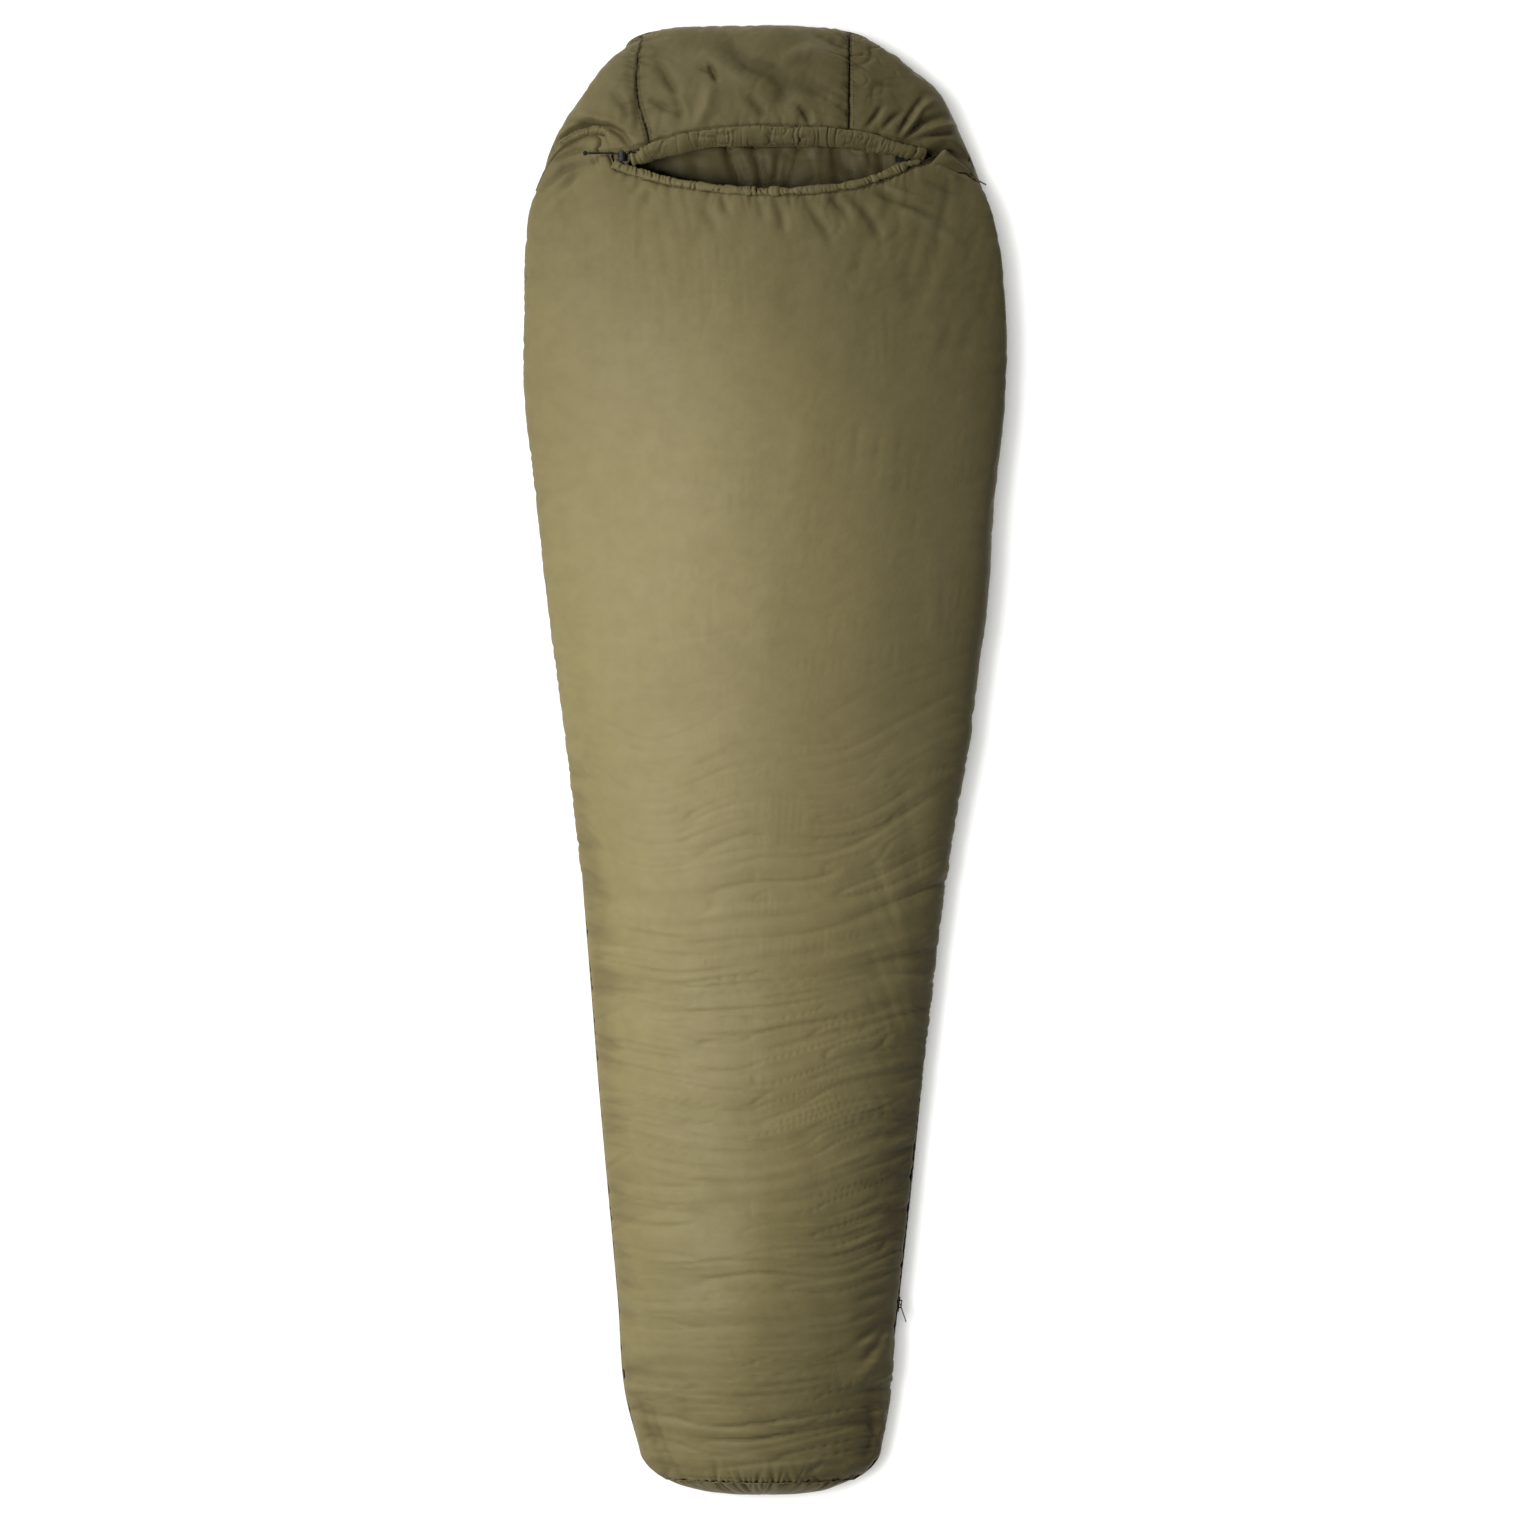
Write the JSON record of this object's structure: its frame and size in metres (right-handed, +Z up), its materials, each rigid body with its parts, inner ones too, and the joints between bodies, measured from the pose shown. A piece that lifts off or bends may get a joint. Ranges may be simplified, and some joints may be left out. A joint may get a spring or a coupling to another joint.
{
  "type": "mummy sleeping bag",
  "caption": "Padded mummy sleeping bag, zipped up and lying flat, with a drawcord hood, a gathered collar and a two-way side zip.",
  "frame": {"origin": "middle of the bag's box seen from above, on the ground it lies on", "axes": "+X across the bag towards the zip, +Y towards the head, +Z up"},
  "size_m": [0.7263, 2.2, 0.1694],
  "materials": {
    "shell_fabric": "calendered nylon with a soft sheen",
    "lining_fabric": "matte nylon",
    "insulation": "loose white fibre",
    "zip_tape": "woven black tape",
    "zip_chain": "moulded coil",
    "slider_metal": "black enamel",
    "cord": "braided black cord",
    "webbing": "woven black webbing",
    "cord_lock_plastic": "moulded black plastic",
    "spring_steel": "bright wire"
  },
  "bodies": {
    "sack": {"upper_shell": "shell_fabric", "base_shell": "shell_fabric", "foot_shell": "shell_fabric", "zip_garage": "shell_fabric", "collar_hem_tunnel": "shell_fabric", "upper_insulation": "insulation", "base_insulation": "insulation", "foot_insulation": "insulation", "upper_lining": "lining_fabric", "base_lining": "lining_fabric", "foot_lining": "lining_fabric", "zip_draft_tube": "lining_fabric", "collar_elastic": "cord", "zip_tape_upper": "zip_tape", "zip_tape_lower": "zip_tape", "zip_chain_upper": "zip_chain", "zip_chain_lower": "zip_chain", "zip_top_stop_upper": "slider_metal", "zip_top_stop_lower": "slider_metal", "zip_bottom_stop": "slider_metal"},
    "hood": {"hood_left_shell": "shell_fabric", "hood_centre_shell": "shell_fabric", "hood_right_shell": "shell_fabric", "hood_back_shell": "shell_fabric", "hood_upper_insulation": "insulation", "hood_back_insulation": "insulation", "hood_upper_lining": "lining_fabric", "hood_back_lining": "lining_fabric", "hood_rim_tunnel": "shell_fabric", "hood_drawcord": "cord", "drawcord_knot": "cord", "inner_strap": "webbing"},
    "cord_lock": {"cord_lock_barrel": "cord_lock_plastic", "cord_lock_spring": "spring_steel"},
    "cord_plunger": {"cord_lock_plunger": "cord_lock_plastic"},
    "upper_slider": {"upper_slider_body": "slider_metal"},
    "upper_outer_pull": {"upper_slider_outer_pull": "slider_metal"},
    "upper_inner_pull": {"upper_slider_inner_pull": "slider_metal"},
    "lower_slider": {"lower_slider_body": "slider_metal"},
    "lower_outer_pull": {"lower_slider_outer_pull": "slider_metal"},
    "lower_inner_pull": {"lower_slider_inner_pull": "slider_metal"}
  },
  "joints": [
    {"name": "hood_tilt", "type": "hinge", "parent": "sack", "child": "hood", "pos_m": [0, 0.915, 0], "axis": [1, 0, 0], "range_deg": [0, 15]},
    {"name": "upper_slider_travel", "type": "hinge", "parent": "sack", "child": "upper_slider", "pos_m": [-15.29833, 0.98824, 0.048], "axis": [0, 0, 1], "range_deg": [-6.02, 0]},
    {"name": "lower_slider_travel", "type": "hinge", "parent": "sack", "child": "lower_slider", "pos_m": [-15.29833, 0.98824, 0.048], "axis": [0, 0, 1], "range_deg": [-0.25, 6.02]},
    {"name": "upper_outer_pull_swing", "type": "hinge", "parent": "upper_slider", "child": "upper_outer_pull", "pos_m": [0.30709, 0.87597, 0.048], "axis": [0, 0, 1], "range_deg": [-60, 114]},
    {"name": "upper_inner_pull_swing", "type": "hinge", "parent": "upper_slider", "child": "upper_inner_pull", "pos_m": [0.29869, 0.87603, 0.048], "axis": [0, 0, 1], "range_deg": [-165, 8]},
    {"name": "lower_outer_pull_swing", "type": "hinge", "parent": "lower_slider", "child": "lower_outer_pull", "pos_m": [0.20279, -0.81649, 0.048], "axis": [0, 0, 1], "range_deg": [-22, 152]},
    {"name": "lower_inner_pull_swing", "type": "hinge", "parent": "lower_slider", "child": "lower_inner_pull", "pos_m": [0.19445, -0.81551, 0.048], "axis": [0, 0, 1], "range_deg": [-165, 8]},
    {"name": "cord_lock_slide", "type": "slide", "parent": "hood", "child": "cord_lock", "axis": [-1, 0, 0], "range_m": [0, 0.03]},
    {"name": "cord_lock_press", "type": "slide", "parent": "cord_lock", "child": "cord_plunger", "axis": [0, -1, 0], "range_m": [0, 0.0035], "stiffness_N_per_m": 600, "springref_m": -0.001, "deforming": ["cord_lock_spring"]}
  ]
}
